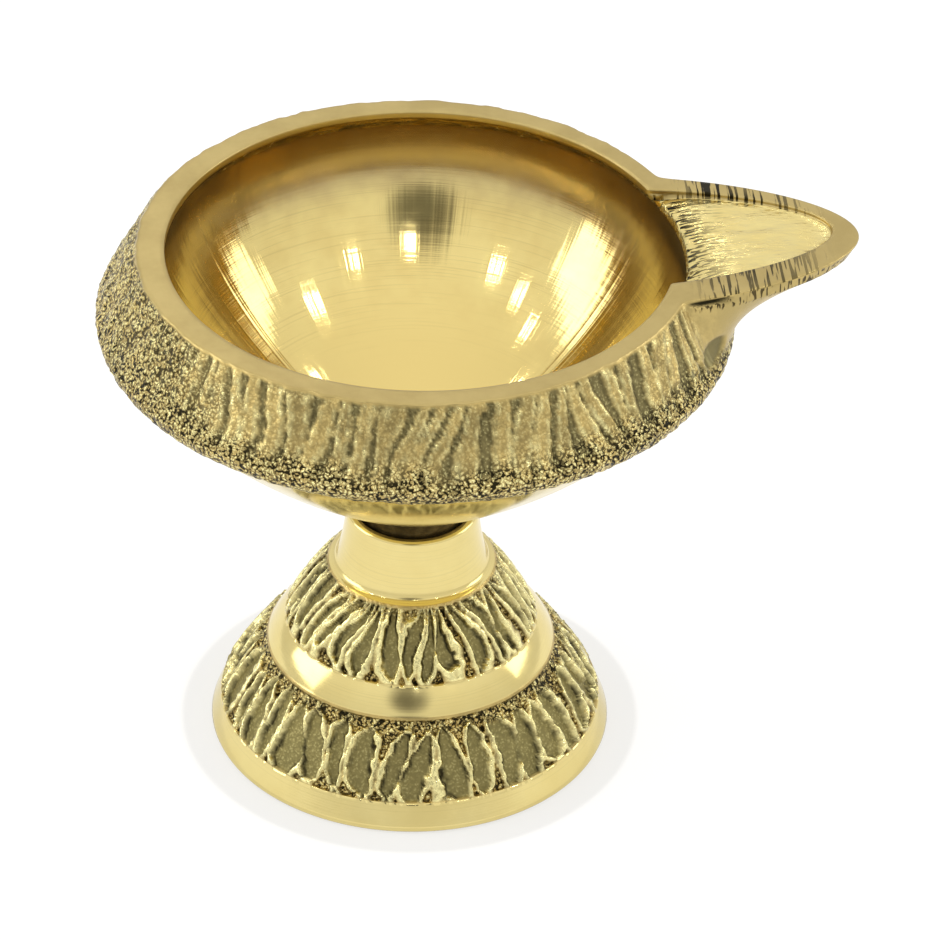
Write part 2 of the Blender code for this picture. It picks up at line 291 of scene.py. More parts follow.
class Grid:
    """Rings of points round the lamp's axis, listed down the skin, with a zone for each ring.

    overhang is how far the spout reaches out past the round rim at each angle.
    """

    def __init__(self, angles):
        self.angles = angles
        self.overhang = 0 * angles
        self.radii = []
        self.heights = []
        self.zones = []

    def ring(self, radius, z, zone):
        self.radii.append(np.broadcast_to(radius, self.angles.shape).astype(float))
        self.heights.append(np.broadcast_to(z, self.angles.shape).astype(float))
        self.zones.append(zone)

    def rings(self, points, zone):
        for radius, z in points:
            self.ring(radius, z, zone)

    def points(self):
        radii = np.array(self.radii)
        x = AXIS_X + radii * np.cos(self.angles)
        return np.stack((x, radii * np.sin(self.angles), np.array(self.heights)), axis=-1)

    def rows(self, zone):
        return [row for row, name in enumerate(self.zones) if name == zone]


def outward(points, closed):
    """Unit normals of a grid of points; closed where the last ring leads to the first."""
    along = np.roll(points, -1, axis=1) - np.roll(points, 1, axis=1)
    down = np.empty_like(points)
    down[1:-1] = points[2:] - points[:-2]
    down[0] = points[1] - (points[-1] if closed else points[0])
    down[-1] = (points[0] if closed else points[-1]) - points[-2]
    normal = np.cross(down, along)
    length = np.linalg.norm(normal, axis=-1, keepdims=True)
    return normal / np.maximum(length, 1e-12)


def put(name, data):
    thing = bpy.data.objects.new(name, data)
    bpy.context.collection.objects.link(thing)
    return thing


def build_skin(name, points, slots, finishes, marks, poles=()):
    """One closed mesh from a grid of points, with a material slot for each ring of faces.

    poles are points that close both ends; without them the last ring joins the first.
    """
    closed = not poles
    rings, stations = points.shape[:2]
    index = np.arange(rings * stations).reshape(rings, stations)
    beside = np.roll(index, -1, axis=1)
    count = rings if closed else rings - 1
    below = np.roll(index, -1, axis=0)[:count]
    below_beside = np.roll(beside, -1, axis=0)[:count]
    quads = np.stack((index[:count], below, below_beside, beside[:count]), axis=-1)
    faces = quads.reshape(-1, 4).tolist()
    face_slots = np.repeat(np.asarray(slots[:count]), stations).tolist()
    vertices = points.reshape(-1, 3).tolist()
    if not closed:
        first, last = len(vertices), len(vertices) + 1
        vertices += [tuple(pole) for pole in poles]
        faces += [(first, i, j) for i, j in zip(index[0], beside[0])]
        faces += [(last, j, i) for i, j in zip(index[-1], beside[-1])]
        face_slots += [slots[0]] * stations + [slots[-1]] * stations
    mesh = bpy.data.meshes.new(name)
    mesh.from_pydata(vertices, [], faces)
    mesh.polygons.foreach_set("material_index", face_slots)
    mesh.shade_smooth()
    extra = len(vertices) - rings * stations
    for key, values in marks.items():
        layer = mesh.attributes.new(key, "FLOAT", "POINT")
        padded = np.append(values.ravel(), np.zeros(extra))
        layer.data.foreach_set("value", padded.astype(np.float32))
    mesh.update()
    for finish in finishes:
        mesh.materials.append(finish.material)
    return put(name, mesh)


# ---- petals and casting grain


def petals(turn, down, count, seed, lean, half_width, reach, wander):
    """Lens-shaped petals round a band.

    reach holds where they begin and end, from 0 to 1 down the band. Returns how far inside its
    petal each point lies, in petal spacings (below 0 between petals), and its petal's own number.
    """
    place = turn * count / math.tau + lean
    index = np.floor(place)
    inside = np.full(place.shape, -1.0)
    tone = np.zeros(place.shape)
    for step in (-1, 0, 1):
        cell = np.mod(index + step, count)
        shift = wander * (pick(cell, seed) - 0.5)
        tilt = 0.6 * (pick(cell, seed + 1) - 0.5)
        bend = 0.5 * (pick(cell, seed + 5) - 0.5)
        width = half_width * (1 + 0.36 * (pick(cell, seed + 2) - 0.5))
        top = reach[0] + 0.12 * pick(cell, seed + 3)
        bottom = reach[1] + 0.14 * (pick(cell, seed + 4) - 0.5)
        middle = index + step + 0.5 + shift + tilt * (down - 0.5) + bend * np.sin(math.pi * down)
        along = np.clip((down - top) / (bottom - top), 0.0, 1.0)
        shape = (4 * along * (1 - along)) ** 0.4 * (1 + 0.25 * (along - 0.5))
        depth = width * shape - np.abs(place - middle)
        tone = np.where(depth > inside, pick(cell, seed + 6), tone)
        inside = np.maximum(inside, depth)
    return inside, tone


def hump(value, middle, half_width):
    return np.exp(-(((value - middle) / half_width) ** 2))


def worked(grid, closed, *works):
    """The grid's points moved out or in by each work, and the marks that the finishes read."""
    points = grid.points()
    names = ("hollow", "grain", "ridge", "shade", "filed", "tone", "strokes")
    marks = {name: np.zeros(points.shape[:2]) for name in names}
    height = np.zeros(points.shape[:2])
    for work in works:
        work(grid, points, marks, height)
    return points + outward(points, closed) * height[..., None], marks


# ---- the bowl

# Which of make_bowl's finishes each zone of the skin takes
BOWL_SLOTS = {"inside": 0, "groove": 1, "lip": 2, "land": 2, "band": 3, "underside": 4, "boss": 5}


def rim_beads(angles):
    """How far the rim's outer edge runs in and out where the petals meet it."""
    place = slow_place(angles, 0 * angles)
    beads = noise(place, 0.05, 94) + 0.7 * noise(place, 0.022, 95)
    return RIM_UNEVENNESS * beads * smooth(0.45, 0.80, np.abs(angles))


def inside_rings(grid):
    """The turned inside, from the middle of its floor up; returns the radius where it ends."""
    widest = (CAVITY_RADIUS, blend(BELLY_Z, RIM_Z, 0.27))
    steep = (CAVITY_RADIUS, BAND_Z - 0.1 * BELLY_ROUND)
    flat = (CAVITY_RADIUS * 0.53, CAVITY_Z)
    mouth = (blend(CAVITY_RADIUS, MOUTH_RADIUS + LIP_UNDERCUT, 0.35), GROOVE_MOUTH_Z)
    over = (CAVITY_RADIUS, blend(widest[1], mouth[1], 0.5))
    inside = curve_points(((0.0, CAVITY_Z), flat, steep, widest), 28)
    inside += curve_points((widest, over, mouth), 7)
    for radius, z in inside:
        grid.ring(turned_radius(radius, grid.angles), z, "inside")
    return mouth[0]


def groove_rings(grid, mouth_radius):
    """The ledge under the lip or, at the spout, the groove's floor.

    Returns the outline where the wall rises to the rim, how slanted that outline is, and a share
    that is 1 where the groove is open.
    """
    angles = grid.angles
    start = turned_radius(mouth_radius, angles)
    lip = turned_radius(MOUTH_RADIUS, angles)
    ledge = turned_radius(MOUTH_RADIUS + LIP_UNDERCUT, angles)
    leaf = leaf_radius(angles - GROOVE_SKEW, GROOVE_ROOT, GROOVE_REACH, GROOVE_HALF_WIDTH)
    inner = soft_over(leaf, lip, GROOVE_FILLET)
    groove_steep = slant(inner, angles)
    open_groove = smooth(-0.0001, 0.0009, leaf - start)
    sliver = 0.00002  # keeps neighbouring rings apart where they would meet
    floor_end = np.maximum(inner - 1.1 * EDGE * groove_steep, start + sliver)
    back = smooth(math.radians(-12), math.radians(16), angles)
    dip_depth = (GROOVE_MOUTH_DEPTH - GROOVE_DEPTH) * blend(1.0, 0.4, back)
    count = 16
    for step in range(1, count + 1):
        part = (step / count) ** 1.5
        floor = blend(start, floor_end, part)
        dip = dip_depth * np.exp((start - floor) / GROOVE_FALL)
        floor_z = RIM_Z - GROOVE_DEPTH - dip
        under_part = min(1.0, 1.15 * step / count)
        under = blend(start, ledge, under_part)
        under_z = blend(GROOVE_MOUTH_Z, RIM_Z - LIP_HEIGHT, under_part)
        if step == count:
            under = lip + sliver
        radius = blend(under, floor, open_groove)
        grid.ring(radius, blend(under_z, floor_z, open_groove), "groove")
    return inner, groove_steep, open_groove


def rim_rings(grid, inner, groove_steep, open_groove):
    """The wall up to the rim, its rounded edges and the flat top."""
    angles = grid.angles
    wall_foot_z = blend(RIM_Z - LIP_HEIGHT, RIM_Z - GROOVE_DEPTH, open_groove)
    for step in range(1, 4):
        grid.ring(inner, blend(wall_foot_z, RIM_Z - EDGE, step / 3), "lip")
    for bend in (math.pi / 4, math.pi / 2):
        radius = inner + EDGE * groove_steep * (1 - math.cos(bend))
        grid.ring(radius, RIM_Z - EDGE * (1 - math.sin(bend)), "lip")

    spout = leaf_radius(angles, SPOUT_ROOT, SPOUT_REACH, SPOUT_HALF_WIDTH)
    outer = soft_over(spout, RIM_RADIUS, SPOUT_FILLET) + rim_beads(angles)
    grid.overhang = outer - RIM_RADIUS
    outer_steep = slant(outer, angles)
    land_start = inner + EDGE * groove_steep
    land_end = outer - EDGE * outer_steep
    for step in range(1, 8):
        grid.ring(blend(land_start, land_end, step / 7), RIM_Z, "land")
    for bend in (math.pi / 4, math.pi / 2):
        radius = land_end + EDGE * outer_steep * math.sin(bend)
        grid.ring(radius, RIM_Z - EDGE * (1 - math.cos(bend)), "land")


def flank_rings(grid):
    """The upright edge, the flank, its rounded lower edge, the underside and the boss."""
    belly = (BELLY_RADIUS, BELLY_Z)
    band_foot = (BAND_FOOT_RADIUS, BAND_Z)
    flank = []
    for step in range(1, 5):
        z = RIM_Z - EDGE - (SPOUT_EDGE - EDGE) * step / 4
        flank.append((blend(RIM_RADIUS, BELLY_RADIUS, (RIM_Z - z) / BAND_RISE), z))
    flank += line_points(flank[-1], belly, 27)
    flank += curve_points((belly, (BELLY_RADIUS, blend(BAND_Z, BELLY_Z, 0.2)), band_foot), 17)
    for radius, z in flank:
        grid.ring(radius + grid.overhang * spout_share(z), z, "band")

    boss_root = (BOSS_RADIUS, UNDERSIDE_Z)
    under = (blend(BOSS_RADIUS, BAND_FOOT_RADIUS, 0.73), blend(UNDERSIDE_Z, BAND_Z, 0.56))
    grid.rings(curve_points((band_foot, under, boss_root), 16), "underside")
    grid.rings(line_points(boss_root, (BOSS_RADIUS, BOSS_Z + EDGE), 3), "boss")
    bore_mouth = (BORE_RADIUS, BOSS_Z + EDGE)
    face = ((BOSS_RADIUS - EDGE, BOSS_Z), (BORE_RADIUS + EDGE, BOSS_Z), bore_mouth)
    grid.rings(face, "boss")
    grid.rings(line_points(bore_mouth, (BORE_RADIUS, BORE_Z), 3), "boss")


def bowl_grid():
    share = 2 * np.arange(BOWL_STATIONS) / BOWL_STATIONS - 1
    grid = Grid(math.pi * share - STATION_CROWDING * np.sin(math.pi * share))
    mouth_radius = inside_rings(grid)
    rim_rings(grid, *groove_rings(grid, mouth_radius))
    flank_rings(grid)
    return grid


def zone_places(grid, points, zone):
    """A zone's rows, each point's share of the way down it, its angle, and the points."""
    rows = grid.rows(zone)
    steps = np.linalg.norm(np.diff(points[rows], axis=0), axis=-1)
    length = np.vstack((np.zeros(points.shape[1]), np.cumsum(steps, axis=0)))
    down = length / length[-1]
    return rows, down, np.broadcast_to(grid.angles, down.shape), points[rows]


def slow_place(turn, down):
    """Points for noise that drifts slowly round a band."""
    return np.stack((np.cos(turn), np.sin(turn), 0.25 * down), axis=-1)


def work_band(grid, points, marks, height):
    """Raised petals and casting grain on the flank, with the spout's root filed smooth."""
    rows, down, turn, spread = zone_places(grid, points, "band")
    share = np.array([[spout_share(grid.heights[row][0])] for row in rows])
    flare = smooth(0.0004, 0.0016, grid.overhang * share)
    under_spout = 1 - smooth(math.radians(22), math.radians(30), np.abs(turn))
    above_sand = smooth(RIM_Z - 0.0072, RIM_Z - 0.0058, spread[..., 2])
    flare = np.maximum(flare, under_spout * above_sand)
    slow = slow_place(turn, down)
    lean = 3.6 * noise(slow, 0.28, 21) * (down - 0.3) + 0.5 * noise(slow, 0.12, 22)
    width = 0.37 + 0.07 * noise(slow, 0.3, 23)
    inside, tone = petals(turn, down, BOWL_PETALS, 31, lean, width, BOWL_PETAL_REACH, 0.30)
    inside += 0.10 * noise(spread, 0.0007, 5) + 0.06 * noise(spread, 0.0003, 6)
    # round the side away from the spout the casting grain nearly hides the petals
    worn = 0.45 + 0.85 * np.minimum(np.cos(turn), 0.0) ** 3 + 0.45 * noise(slow, 0.5, 24)
    clear = smooth(-0.30, 0.40, worn + 0.25 * noise(spread, 0.003, 25))
    petal_zone = (1 - flare) * (1 - smooth(0.50, 0.68, down + 0.06 * noise(spread, 0.0015, 27)))
    gap = 1 - smooth(-0.17, 0.09, inside)
    carved = BOWL_PETAL_RISE * hump(inside, 0.14, 0.12) - BOWL_GAP_DEPTH * gap * (0.3 + 0.7 * clear)
    height[rows] += petal_zone * carved * smooth(0.0, 0.03, down)
    sand = smooth(0.38, 0.60, down + 0.10 * noise(spread, 0.002, 26))
    coarse = np.clip(0.20 + 0.68 * (1 - clear) + 0.9 * sand, 0.0, 1.0) * (1 - flare)
    bite = rough_noise(spread, BOWL_GRAIN_SIZE, 41)
    height[rows] += BOWL_GRAIN_DEPTH * coarse * bite * smooth(0.0, 0.06, down)
    rubbed = 0.4 + 0.6 * noise(spread, 0.0006, 8)
    marks["hollow"][rows] = petal_zone * gap * (0.15 + 0.8 * clear)
    # painted shade down the middle of each gap between the petals
    marks["shade"][rows] = petal_zone * hump(inside, -0.10, 0.05) * (0.1 + 0.55 * clear)
    marks["ridge"][rows] = petal_zone * hump(inside, 0.10, 0.08) * rubbed
    marks["grain"][rows] = coarse
    marks["filed"][rows] = flare
    marks["tone"][rows] = tone


def work_spout_root(grid, points, marks, height):
    """A shallow oval, a small pit and a filed upright edge where the spout leaves the bowl."""
    rows, down, turn, spread = zone_places(grid, points, "band")
    z = spread[..., 2]
    offset = (turn - OVAL_ANGLE) * BELLY_RADIUS
    crosswise = (z - OVAL_Z - OVAL_SLOPE * offset) / OVAL_HALF_HEIGHT
    oval = 1 - smooth(0.75, 1.05, np.hypot(offset / OVAL_HALF_LENGTH, crosswise))
    pit_along = (turn - PIT_ANGLE) * RIM_RADIUS / PIT_HALF_LENGTH
    pit = 1 - smooth(0.7, 1.2, np.hypot(pit_along, (z - PIT_Z) / PIT_HALF_HEIGHT))
    height[rows] -= OVAL_DEPTH * oval + PIT_DEPTH * pit
    marks["hollow"][rows] = np.maximum(marks["hollow"][rows], oval)
    # the pit is painted dark as shade
    marks["shade"][rows] = np.maximum(marks["shade"][rows], pit)
    marks["grain"][rows] *= 1 - oval
    marks["filed"][rows] *= 1 - oval
    upright = smooth(RIM_Z - 1.35 * SPOUT_EDGE, RIM_Z - 1.1 * SPOUT_EDGE, z)
    at_spout = smooth(0.0002, 0.0012, grid.overhang)
    marks["strokes"][rows] = upright * at_spout * (1 - pit)
    lumps = noise(spread, 0.0008, 91) * upright * at_spout
    height[rows] += SPOUT_EDGE_LUMPS * lumps * smooth(0.0, 0.03, down)


def work_spout(grid, points, marks, height):
    """File strokes across the spout's land and along its groove."""
    for zone in ("land", "lip"):
        rows = grid.rows(zone)
        ahead = points[rows][..., 0] - AXIS_X
        strokes = smooth(0.0258, 0.0290, ahead) * (1 - smooth(0.0350, 0.0412, ahead))
        marks["strokes"][rows] = strokes * (0.75 + 0.25 * noise(points[rows], 0.003, 92))
    rows = grid.rows("groove")
    ahead = points[rows][..., 0] - AXIS_X
    across = points[rows][..., 1]
    mouth = smooth(0.0225, 0.0240, ahead)
    marks["strokes"][rows] = mouth * (1 - smooth(0.0245, 0.0318, ahead + 0.06 * np.abs(across)))
    wavy = noise(points[rows] * (0.35, 1.0, 1.0), 0.0011, 93)
    past_mouth = smooth(0.0235, 0.0245, ahead)
    inside_groove = past_mouth * smooth(0.0, 0.0012, groove_margin(ahead, across))
    height[rows] += GROOVE_WAVES * wavy * inside_groove


def groove_margin(ahead, across):
    """How far inside the groove's outline a point lies, measured across the spout."""
    middle = (ahead - GROOVE_ROOT) * math.tan(GROOVE_SKEW)
    half = leaf_half_width(ahead, GROOVE_ROOT, GROOVE_REACH, GROOVE_HALF_WIDTH)
    return half - np.abs(across - middle)


def make_bowl(finishes):
    grid = bowl_grid()
    points, marks = worked(grid, False, work_band, work_spout_root, work_spout)
    # a ring's faces lead to the next ring, so they take the next ring's zone
    slots = [BOWL_SLOTS[zone] for zone in grid.zones[1:] + grid.zones[-1:]]
    poles = ((AXIS_X, 0.0, CAVITY_Z), (AXIS_X, 0.0, BORE_Z))
    bowl = build_skin("spouted_bowl", points, slots, finishes, marks, poles)
    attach(bowl, "bowl")
    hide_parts("bowl")


# ---- the pedestal

# The same for make_pedestal's finishes
PEDESTAL_SLOTS = {"neck": 0, "collar": 0, "foot": 0, "upper_band": 1, "lower_band": 1, "hollow": 2}


class Band(NamedTuple):
    """How petals lie round one of the pedestal's bands, with widths in shares of their spacing."""

    zone: str
    count: int
    seed: int
    reach: tuple  # where the petals begin and end, from 0 to 1 down the band
    sway: float  # how far they lean one way and the other
    half_width: float
    crest: float  # half the width of the raised outline
    grit: float  # how gritty the band is along its top


PEDESTAL_BANDS = (
    Band("upper_band", 32, 51, (-0.05, 0.90), 2.0, 0.29, 0.12, 0.35),
    Band("lower_band", 38, 71, (0.06, 0.985), 1.2, 0.375, 0.075, 1.0),
)


def crowned(start, end, crown, count):
    """Points from start to end along a line that bulges out by crown."""
    middle = ((start[0] + end[0]) / 2 + 2 * crown, (start[1] + end[1]) / 2)
    return curve_points((start, middle, end), count)


def pedestal_grid():
    grid = Grid(math.tau * np.arange(PEDESTAL_STATIONS) / PEDESTAL_STATIONS)
    chamfer = NECK_CHAMFER
    neck_top = (NECK_RADIUS, MOUTH_Z - chamfer)
    neck_foot = (NECK_ROOT[0] - NECK_STEP, NECK_ROOT[1] + NECK_STEP_RISE)
    neck_waist = (NECK_RADIUS + 0.0002, blend(NECK_ROOT[1], MOUTH_Z, 0.45))
    step_hollow = (NECK_ROOT[0] - 0.8 * NECK_STEP, NECK_ROOT[1] + 0.1 * NECK_STEP_RISE)
    recess = (
        (WEB_HOLE, RECESS_Z - EDGE),
        (WEB_HOLE + EDGE, RECESS_Z),
        (RECESS_RADIUS - EDGE, RECESS_Z),
        (RECESS_RADIUS, RECESS_Z + EDGE),
        (RECESS_RADIUS, MOUTH_Z - chamfer),
    )
    mouth = (
        (RECESS_RADIUS + 0.25 * chamfer, MOUTH_Z - 0.25 * chamfer),
        (RECESS_RADIUS + chamfer, MOUTH_Z),
        (NECK_RADIUS - chamfer, MOUTH_Z),
        (NECK_RADIUS - 0.3 * chamfer, MOUTH_Z - 0.3 * chamfer),
        neck_top,
    )
    grid.rings(recess, "hollow")
    grid.rings(mouth, "neck")
    grid.rings(curve_points((neck_top, neck_waist, neck_foot), 12), "neck")
    grid.rings(curve_points((neck_foot, step_hollow, NECK_ROOT), 4), "neck")
    grid.rings(crowned(NECK_ROOT, COLLAR_HIGH, BAND_CROWN, 34), "upper_band")
    grid.rings(crowned(COLLAR_HIGH, COLLAR_LOW, BAND_CROWN / 2, 12), "collar")
    grid.rings(crowned(COLLAR_LOW, FOOT_SHOULDER, BAND_CROWN, 38), "lower_band")
    foot_edge = (FOOT_RADIUS, FOOT_ROUND)
    foot_turn = (FOOT_RADIUS - 0.25 * FOOT_ROUND, 0.35 * FOOT_ROUND)
    foot_face = (FOOT_RADIUS - FOOT_ROUND, 0.0)
    ring_inside = FOOT_RADIUS - FOOT_RING
    grid.rings(line_points(FOOT_SHOULDER, foot_edge, 8), "foot")
    grid.rings((foot_turn, foot_face), "foot")
    grid.rings(line_points(foot_face, (ring_inside + EDGE, 0.0), 3), "foot")
    stations = [(ring_inside, EDGE)]
    stations += [(radius - WALL, z) for radius, z in (FOOT_SHOULDER, COLLAR_LOW, COLLAR_HIGH)]
    stations.append((NECK_ROOT[0] - WALL, WEB_Z))
    grid.ring(*stations[0], "hollow")
    for low, high in zip(stations, stations[1:]):
        grid.rings(line_points(low, high, 4), "hollow")
    grid.rings(line_points(stations[-1], (WEB_HOLE + EDGE, WEB_Z), 3), "hollow")
    grid.ring(WEB_HOLE, WEB_Z + EDGE, "hollow")
    return grid


def work_pedestal(grid, points, marks, height):
    """Sunken petals, each inside its own raised outline, on the pedestal's two bands."""
    for band in PEDESTAL_BANDS:
        seed = band.seed
        crest = band.crest
        rows, down, turn, spread = zone_places(grid, points, band.zone)
        slow = slow_place(turn, down)
        sway = band.sway * noise(slow, 0.4, seed) * (down - 0.5)
        lean = sway + 0.35 * noise(slow, 0.2, seed + 8)
        inside, tone = petals(
            turn, down, band.count, seed, lean, band.half_width, band.reach, 0.28
        )
        inside += 0.09 * noise(spread, 0.0010, seed + 9) + 0.07 * noise(spread, 0.0004, seed + 10)
        edge = smooth(0.0, 0.03, down) * (1 - smooth(0.97, 1.0, down))
        ragged = down + 0.06 * noise(spread, 0.0015, seed + 11)
        top_grit = band.grit * (1 - smooth(0.07, 0.22, ragged))
        floor = smooth(-0.02, 0.04, inside) * (1 - 0.8 * top_grit)
        ridge = hump(inside, -0.85 * crest - 0.01, crest)
        between = np.maximum(1 - smooth(-2.6 * crest - 0.08, -2.6 * crest, inside), top_grit)
        bite = rough_noise(spread, PEDESTAL_GRAIN_SIZE, seed + 5)
        rise = OUTLINE_RISE * ridge - PETAL_DEPTH * floor - BETWEEN_DEPTH * between
        rise += PEDESTAL_GRAIN_DEPTH * bite * (0.12 + 0.4 * ridge + 0.9 * between)
        height[rows] = edge * rise
        # painted shade: dark lines, broken, along both flanks of each outline
        broken = smooth(-0.5, 0.3, noise(spread, 0.0014, seed + 12))
        inner_line = hump(inside, 0.05, 0.055) * broken
        outer_line = 0.8 * hump(inside, -2.2 * crest - 0.04, 0.05) * broken
        marks["hollow"][rows] = edge * floor
        marks["ridge"][rows] = edge * ridge * (1 - 0.6 * top_grit)
        marks["shade"][rows] = edge * np.maximum(inner_line, outer_line)
        marks["grain"][rows] = edge * np.clip(0.16 + between, 0, 1)
        marks["tone"][rows] = tone


def make_pedestal(finishes):
    grid = pedestal_grid()
    points, marks = worked(grid, True, work_pedestal)
    slots = [PEDESTAL_SLOTS[zone] for zone in grid.zones[1:] + grid.zones[:1]]
    pedestal = build_skin("cast_pedestal", points, slots, finishes, marks)
    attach(pedestal, "pedestal")
    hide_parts("pedestal")


# ---- the screw and its washers


def loft(rings, closed=False):
    """Vertices and faces of a skin over equal rings of points, capped unless it is closed."""
    size = len(rings[0])
    vertices = [tuple(point) for ring in rings for point in ring]
    faces = []
    for row in range(len(rings) if closed else len(rings) - 1):
        near = row * size
        far = (row + 1) % len(rings) * size
        for i in range(size):
            j = (i + 1) % size
            faces.append((near + i, near + j, far + j, far + i))
    if not closed:
        faces.append(tuple(reversed(range(size))))
        faces.append(tuple(range(len(vertices) - size, len(vertices))))
    return vertices, faces


def build_fastener(name, shells, finish, body, node):
    vertices = []
    faces = []
    for shell_vertices, shell_faces in shells:
        start = len(vertices)
        vertices += shell_vertices
        faces += [tuple(start + i for i in face) for face in shell_faces]
    mesh = bpy.data.meshes.new(name)
    mesh.from_pydata(vertices, [], faces)
    mesh.shade_smooth()
    mesh.set_sharp_from_angle(angle=math.radians(35))
    mesh.materials.append(finish.material)
    mesh.update()
    piece = put(name, mesh)
    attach(piece, body)
    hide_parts(node)


def point_at(radius, turn, z):
    return AXIS_X + radius * math.cos(turn), radius * math.sin(turn), z


def circle(radius, z):
    """Points of a level circle round the lamp's axis."""
    return [point_at(radius, math.tau * i / SCREW_STATIONS, z) for i in range(SCREW_STATIONS)]


def half_head(side, z, radius):
    """Outline at height z of the part of the head on one side (-1 or 1) of the slot."""
    start = math.acos(SLOT_WIDTH / 2 / radius)
    last = HEAD_STATIONS - 1
    turns = [blend(-start, start, i / last) for i in range(HEAD_STATIONS)]
    return [point_at(side * radius, turn, z) for turn in turns]


def make_screw(finish):
    """A slotted cheese-head screw with a real helical thread."""
    low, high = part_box("clamp_screw")
    head_radius = high.y
    slot_top = low.z + SLOT_DEPTH
    head_top = low.z + HEAD_HEIGHT
    soft = HEAD_ROUND
    head = ((head_radius, slot_top), (head_radius, head_top - 0.4 * soft))
    head += ((head_radius - 0.4 * soft, head_top), (SCREW_RADIUS, head_top))
    rings = [circle(radius, z) for radius, z in head]
    steps = int((high.z - soft - head_top) / THREAD_PITCH * RINGS_A_TURN)
    for step in range(1, steps + 1):
        z = blend(head_top, high.z - soft, step / steps)
        fade = smooth(0.0, 0.0012, z - head_top) * smooth(0.0, 0.0004, high.z - soft - z)
        ring = []
        for i in range(SCREW_STATIONS):
            phase = (z / THREAD_PITCH - i / SCREW_STATIONS) % 1.0
            groove = 1 - abs(2 * phase - 1)
            radius = SCREW_RADIUS - THREAD_DEPTH * float(fade) * groove**0.8
            ring.append(point_at(radius, math.tau * i / SCREW_STATIONS, z))
        rings.append(ring)
    rings.append(circle(SCREW_RADIUS - THREAD_DEPTH, high.z))
    shells = [loft(rings)]
    edge = ((low.z, soft), (low.z + 0.35 * soft, 0.35 * soft), (low.z + soft, 0.0))
    edge += ((slot_top + 0.00002, 0.0),)
    for side in (-1, 1):
        shells.append(loft([half_head(side, z, head_radius - inset) for z, inset in edge]))
    build_fastener("slotted_screw", shells, finish, "screw", "clamp_screw")


def section(inner, outer, low, high, soft):
    """(radius, z) outline of a rectangle with rounded corners."""
    outline = []
    corners = ((inner, low, 1, 1), (outer, low, -1, 1), (outer, high, -1, -1), (inner, high, 1, -1))
    for radius, z, across, up in corners:
        corner = [(0.0, 1.0), (0.3, 0.3), (1.0, 0.0)]
        if across != up:
            corner.reverse()
        outline += [(radius + across * r * soft, z + up * h * soft) for r, h in corner]
    return outline


def washer_rings(node, soft, turns, slope=0.0):
    """A washer's section at each turn round the axis; slope leans it round with height."""
    low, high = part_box(node)
    middle = (low.z + high.z) / 2
    outline = section(WASHER_INNER, high.y, low.z, high.z, soft)
    rings = []
    for turn in turns:
        ring = []
        for radius, z in outline:
            leaning = turn + slope * (z - middle) / radius
            ring.append(point_at(radius, leaning, z))
        rings.append(ring)
    return rings


def make_plain_washer(finish):
    turns = [math.tau * i / WASHER_STATIONS for i in range(WASHER_STATIONS)]
    shells = [loft(washer_rings("flat_washer", WASHER_ROUND, turns), closed=True)]
    build_fastener("plain_washer", shells, finish, "washers", "flat_washer")


def make_split_washer(finish):
    """A spring washer with a slanted gap facing away from the spout."""
    end = math.pi - SPRING_GAP / 2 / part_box("spring_washer")[1].y
    turns = [blend(-end, end, i / WASHER_STATIONS) for i in range(WASHER_STATIONS + 1)]
    rings = washer_rings("spring_washer", SPRING_ROUND, turns, SPRING_SLOPE)
    name = "split_washer"
    build_fastener(name, [loft(rings)], finish, "washers", "spring_washer")


# ---- finishes


class Nodes:
    """Short ways to add nodes to a material's or the world's tree."""

    def __init__(self, tree):
        self.tree = tree

    def add(self, kind, settings=None, **inputs):
        node = self.tree.nodes.new(kind)
        for key, value in (settings or {}).items():
            setattr(node, key, value)
        for key, value in inputs.items():
            self.feed(node.inputs[key], value)
        return node

    def feed(self, socket, value):
        if isinstance(value, bpy.types.NodeSocket):
            self.tree.links.new(value, socket)
        else:
            socket.default_value = value

    def feed_all(self, node, values):
        for socket, value in zip(node.inputs, values):
            self.feed(socket, value)
        return node

    def math(self, operation, *values):
        node = self.add("ShaderNodeMath", {"operation": operation})
        return self.feed_all(node, values).outputs[0]

    def times(self, a, b):
        return self.math("MULTIPLY", a, b)

    def plus(self, a, b):
        return self.math("ADD", a, b)

    def vector(self, operation, *values):
        node = self.feed_all(self.add("ShaderNodeVectorMath", {"operation": operation}), values)
        return node.outputs["Value" if operation in ("LENGTH", "DOT_PRODUCT") else "Vector"]

    def span(self, value, low, high, to_low=0.0, to_high=1.0, curve="SMOOTHSTEP"):
        """value from low..high moved to to_low..to_high."""
        node = self.add("ShaderNodeMapRange", {"interpolation_type": curve})
        return self.feed_all(node, (value, low, high, to_low, to_high)).outputs["Result"]

    def height_of(self, place):
        return self.add("ShaderNodeSeparateXYZ", Vector=place).outputs["Z"]


